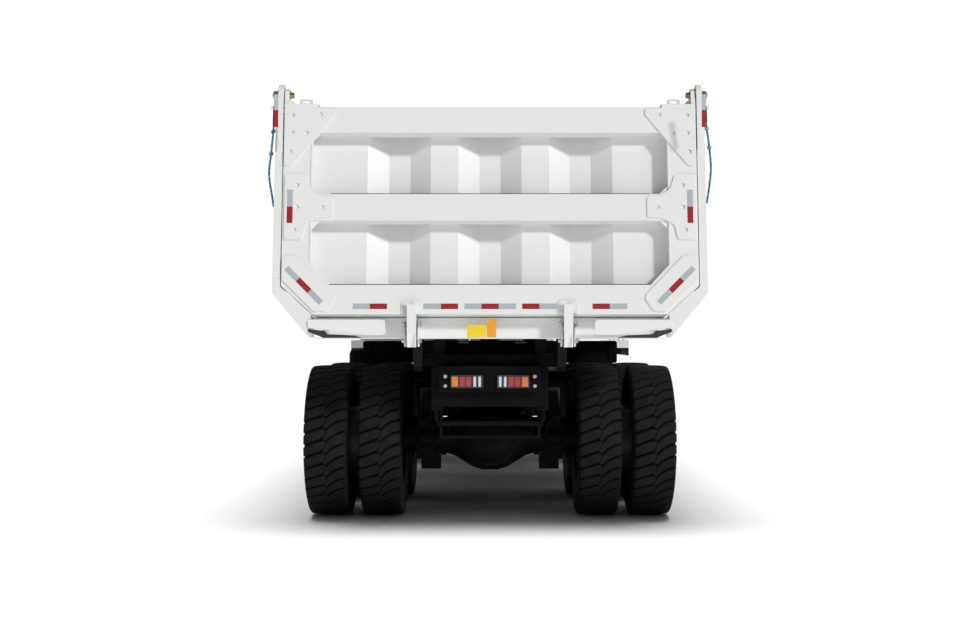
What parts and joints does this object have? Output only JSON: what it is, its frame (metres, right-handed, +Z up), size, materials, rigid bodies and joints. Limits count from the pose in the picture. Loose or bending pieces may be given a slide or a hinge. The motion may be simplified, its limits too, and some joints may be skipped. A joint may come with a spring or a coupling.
{
  "type": "mining dump truck",
  "caption": "Wide-body rigid mining dump truck: high rear-tipping load box with a cab canopy, hinged tailgate, offset cab, twin rear wheels on two drive axles and a front telescopic hoist.",
  "frame": {"origin": "on the ground, below the middle of the truck", "axes": "+X the truck's right, +Y forward, +Z up"},
  "size_m": [3.738, 8.89, 4.05],
  "materials": {
    "white_paint": "satin",
    "chassis_paint": "satin",
    "tyre_rubber": "matte",
    "rim_paint": "satin",
    "cast_metal": "rough",
    "hard_chrome": "polished",
    "tinted_glass": "polished",
    "seat_fabric": "woven",
    "black_plastic": "matte",
    "blue_rope": "braided",
    "red_reflective": "reflective sheet",
    "silver_reflective": "reflective sheet",
    "red_lens": "moulded lens",
    "amber_lens": "moulded lens",
    "clear_lens": "moulded lens",
    "zinc_yellow": "yellow zinc plate",
    "yellow_sticker": "film",
    "orange_sticker": "film",
    "black_rubber": "matte",
    "bright_steel": "plain"
  },
  "bodies": {
    "chassis": {"chassis_frame": "chassis_paint", "front_axle": "chassis_paint", "middle_axle": "chassis_paint", "rear_axle": "chassis_paint", "front_spring_left": "chassis_paint", "front_spring_right": "chassis_paint", "bogie_spring_left": "chassis_paint", "bogie_spring_right": "chassis_paint", "driveshaft": "cast_metal", "inter_axle_shaft": "cast_metal", "engine_block": "cast_metal", "engine_hood": "white_paint", "front_bumper": "white_paint", "front_deck": "chassis_paint", "handrail": "white_paint", "cab_ladder": "chassis_paint", "fuel_tank": "chassis_paint", "hydraulic_tank": "chassis_paint", "battery_box": "chassis_paint", "cab_shell": "white_paint", "windscreen": "tinted_glass", "rear_window": "tinted_glass", "right_window": "tinted_glass", "driver_seat": "seat_fabric", "steering_wheel": "black_plastic"},
    "cab_door": {"cab_door": "white_paint", "door_glass": "tinted_glass"},
    "dump_body": {"dump_floor": "white_paint", "dump_side_left": "white_paint", "dump_side_right": "white_paint", "dump_headboard": "white_paint", "cab_canopy": "white_paint", "rope_left": "blue_rope", "rope_right": "blue_rope"},
    "tailgate": {"tailgate_frame": "white_paint", "tailgate_panel": "white_paint"},
    "hoist_barrel": {"hoist_barrel": "chassis_paint"},
    "hoist_stage_1": {"hoist_stage_1": "hard_chrome"},
    "hoist_stage_2": {"hoist_stage_2": "hard_chrome"},
    "hoist_rod": {"hoist_rod": "hard_chrome"},
    "tie_rod": {"tie_rod": "chassis_paint"},
    "steering_knuckle_left": {"knuckle_left": "chassis_paint"},
    "front_wheel_left": {"front_tyre_left": "tyre_rubber", "front_rim_left": "rim_paint"},
    "middle_twin_wheel_left": {"middle_inner_tyre_left": "tyre_rubber", "middle_outer_tyre_left": "tyre_rubber", "middle_twin_rim_left": "rim_paint"},
    "rear_twin_wheel_left": {"rear_inner_tyre_left": "tyre_rubber", "rear_outer_tyre_left": "tyre_rubber", "rear_twin_rim_left": "rim_paint"},
    "steering_knuckle_right": {"knuckle_right": "chassis_paint"},
    "front_wheel_right": {"front_tyre_right": "tyre_rubber", "front_rim_right": "rim_paint"},
    "middle_twin_wheel_right": {"middle_inner_tyre_right": "tyre_rubber", "middle_outer_tyre_right": "tyre_rubber", "middle_twin_rim_right": "rim_paint"},
    "rear_twin_wheel_right": {"rear_inner_tyre_right": "tyre_rubber", "rear_outer_tyre_right": "tyre_rubber", "rear_twin_rim_right": "rim_paint"}
  },
  "joints": [
    {"name": "bed_tip", "type": "hinge", "parent": "chassis", "child": "dump_body", "pos_m": [0, -3.8, 1.42], "axis": [1, 0, 0], "range_deg": [0, 45]},
    {"name": "tailgate_swing", "type": "hinge", "parent": "dump_body", "child": "tailgate", "pos_m": [0, -4.08, 3.669], "axis": [-1, 0, 0], "range_deg": [0, 60]},
    {"name": "hoist_swing", "type": "hinge", "parent": "chassis", "child": "hoist_barrel", "pos_m": [0, 1.75, 1.1], "axis": [1, 0, 0], "range_deg": [0, 26.8]},
    {"name": "hoist_stage_1_slide", "type": "slide", "parent": "hoist_barrel", "child": "hoist_stage_1", "axis": [0, -0.0238, 0.9997], "range_m": [0, 1.367]},
    {"name": "hoist_stage_2_slide", "type": "slide", "parent": "hoist_stage_1", "child": "hoist_stage_2", "axis": [0, -0.0238, 0.9997], "range_m": [0, 1.367]},
    {"name": "hoist_rod_slide", "type": "slide", "parent": "hoist_stage_2", "child": "hoist_rod", "axis": [0, -0.0238, 0.9997], "range_m": [0, 1.367]},
    {"name": "cab_door_swing", "type": "hinge", "parent": "chassis", "child": "cab_door", "pos_m": [-1.755, 3.643, 1.63], "axis": [0, 0, -1], "range_deg": [0, 70]},
    {"name": "steer_left", "type": "hinge", "parent": "chassis", "child": "steering_knuckle_left", "pos_m": [-1.18, 2.35, 0.685], "axis": [0, 0, 1], "range_deg": [-33, 33]},
    {"name": "front_wheel_left_spin", "type": "hinge", "parent": "steering_knuckle_left", "child": "front_wheel_left", "pos_m": [-1.42, 2.35, 0.685], "axis": [1, 0, 0], "continuous": true},
    {"name": "middle_wheel_left_spin", "type": "hinge", "parent": "chassis", "child": "middle_twin_wheel_left", "pos_m": [-1.208, -1.55, 0.685], "axis": [1, 0, 0], "continuous": true},
    {"name": "rear_wheel_left_spin", "type": "hinge", "parent": "chassis", "child": "rear_twin_wheel_left", "pos_m": [-1.208, -3.05, 0.685], "axis": [1, 0, 0], "continuous": true},
    {"name": "steer_right", "type": "hinge", "parent": "chassis", "child": "steering_knuckle_right", "pos_m": [1.18, 2.35, 0.685], "axis": [0, 0, 1], "range_deg": [-33, 33]},
    {"name": "front_wheel_right_spin", "type": "hinge", "parent": "steering_knuckle_right", "child": "front_wheel_right", "pos_m": [1.42, 2.35, 0.685], "axis": [1, 0, 0], "continuous": true},
    {"name": "middle_wheel_right_spin", "type": "hinge", "parent": "chassis", "child": "middle_twin_wheel_right", "pos_m": [1.208, -1.55, 0.685], "axis": [1, 0, 0], "continuous": true},
    {"name": "rear_wheel_right_spin", "type": "hinge", "parent": "chassis", "child": "rear_twin_wheel_right", "pos_m": [1.208, -3.05, 0.685], "axis": [1, 0, 0], "continuous": true},
    {"name": "tie_rod_turn", "type": "hinge", "parent": "steering_knuckle_left", "child": "tie_rod", "pos_m": [-1.15, 2.05, 0.59], "axis": [0, 0, 1], "range_deg": [-33, 33]}
  ],
  "couplings": [
    {"joint": "hoist_swing", "follows": "bed_tip", "ratio": 0.59415},
    {"joint": "hoist_stage_1_slide", "follows": "bed_tip", "m_per_rad": 1.7392},
    {"joint": "hoist_stage_2_slide", "follows": "bed_tip", "m_per_rad": 1.7392},
    {"joint": "hoist_rod_slide", "follows": "bed_tip", "m_per_rad": 1.7392},
    {"joint": "steer_right", "follows": "steer_left", "ratio": 1},
    {"joint": "tie_rod_turn", "follows": "steer_left", "ratio": -1}
  ]
}
